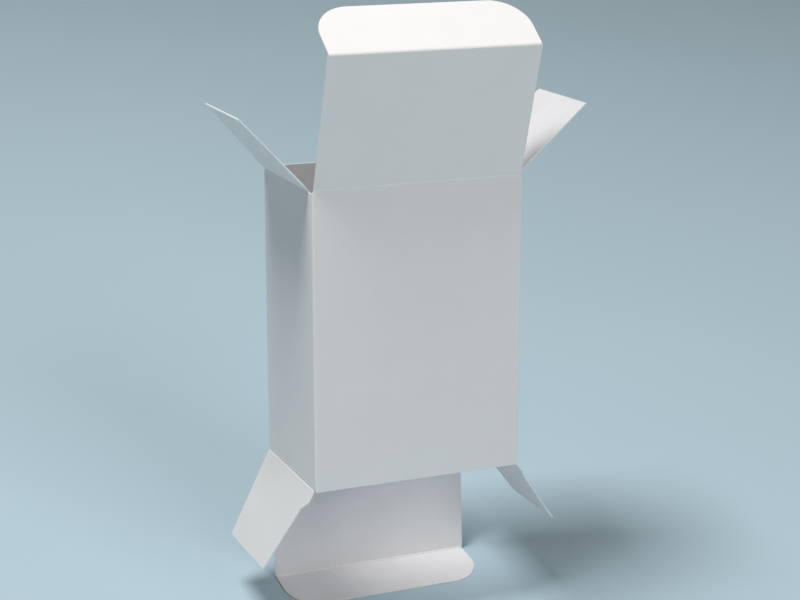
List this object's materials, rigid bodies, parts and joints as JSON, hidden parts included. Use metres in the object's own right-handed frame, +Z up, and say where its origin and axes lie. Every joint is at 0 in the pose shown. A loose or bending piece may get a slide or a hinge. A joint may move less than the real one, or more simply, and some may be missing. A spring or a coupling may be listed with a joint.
{
  "type": "folding carton",
  "caption": "Plain white folding carton, open at both ends, with a lid, a bottom closure, tuck tongues and dust flaps, standing on its bottom tongue.",
  "frame": {"origin": "on the floor, under the middle of the overall box", "axes": "+X along the front panel to the viewer's right, +Y from front to back, +Z up; the sleeve leans back by 9 degrees"},
  "size_m": [0.1054, 0.0546, 0.1818],
  "materials": {
    "board": "matte"
  },
  "bodies": {
    "front": {"front_panel": "board"},
    "left_side": {"left_panel": "board"},
    "right_side": {"right_panel": "board", "glue_flap": "board"},
    "back": {"back_panel": "board"},
    "lid": {"lid": "board"},
    "top_tongue": {"top_tongue": "board"},
    "closure": {"bottom_closure": "board"},
    "bottom_tongue": {"bottom_tongue": "board"},
    "dust_top_left": {"dust_top_left": "board"},
    "dust_top_right": {"dust_top_right": "board"},
    "dust_bottom_left": {"dust_bottom_left": "board"},
    "dust_bottom_right": {"dust_bottom_right": "board"}
  },
  "joints": [
    {"name": "front_left_fold", "type": "hinge", "parent": "front", "child": "left_side", "pos_m": [-0.03291, -0.02738, 0.04633], "axis": [0, 0.1564, 0.9877], "range_deg": [0, 85]},
    {"name": "front_right_fold", "type": "hinge", "parent": "front", "child": "right_side", "pos_m": [0.03063, -0.02692, 0.04626], "axis": [0, 0.1564, 0.9877], "range_deg": [0, 85]},
    {"name": "back_left_fold", "type": "hinge", "parent": "left_side", "child": "back", "pos_m": [-0.03245, 0.01316, 0.03991], "axis": [0, 0.1564, 0.9877], "range_deg": [-85, 0]},
    {"name": "lid_fold", "type": "hinge", "parent": "front", "child": "lid", "pos_m": [-0.03291, -0.01338, 0.13321], "axis": [1, 0, 0], "range_deg": [-102.9, 72.1]},
    {"name": "top_tongue_fold", "type": "hinge", "parent": "lid", "child": "top_tongue", "pos_m": [-0.03291, -0.01967, 0.17338], "axis": [1, 0, 0], "range_deg": [-22.7, 72.3]},
    {"name": "closure_fold", "type": "hinge", "parent": "back", "child": "closure", "pos_m": [-0.03291, 0.01338, 0.03987], "axis": [1, 0, 0], "range_deg": [-81.2, 93.8]},
    {"name": "bottom_tongue_fold", "type": "hinge", "parent": "closure", "child": "bottom_tongue", "pos_m": [-0.03291, 0.00438, 0.00023], "axis": [1, 0, 0], "range_deg": [-17.8, 77.2]},
    {"name": "dust_top_left_fold", "type": "hinge", "parent": "left_side", "child": "dust_top_left", "pos_m": [-0.03268, 0.02728, 0.12616], "axis": [0, -0.9877, 0.1564], "range_deg": [-133.2, 46.8]},
    {"name": "dust_bottom_left_fold", "type": "hinge", "parent": "left_side", "child": "dust_bottom_left", "pos_m": [-0.03268, -0.02728, 0.04692], "axis": [0, 0.9877, -0.1564], "range_deg": [-118.6, 61.4]},
    {"name": "dust_top_right_fold", "type": "hinge", "parent": "right_side", "child": "dust_top_right", "pos_m": [0.03086, -0.01371, 0.13265], "axis": [0, 0.9877, -0.1564], "range_deg": [-138.4, 41.6]},
    {"name": "dust_bottom_right_fold", "type": "hinge", "parent": "right_side", "child": "dust_bottom_right", "pos_m": [0.03086, 0.01371, 0.04043], "axis": [0, -0.9877, 0.1564], "range_deg": [-126.2, 53.8]}
  ],
  "couplings": [
    {"joint": "front_right_fold", "follows": "front_left_fold", "ratio": 1},
    {"joint": "back_left_fold", "follows": "front_left_fold", "ratio": -1}
  ]
}
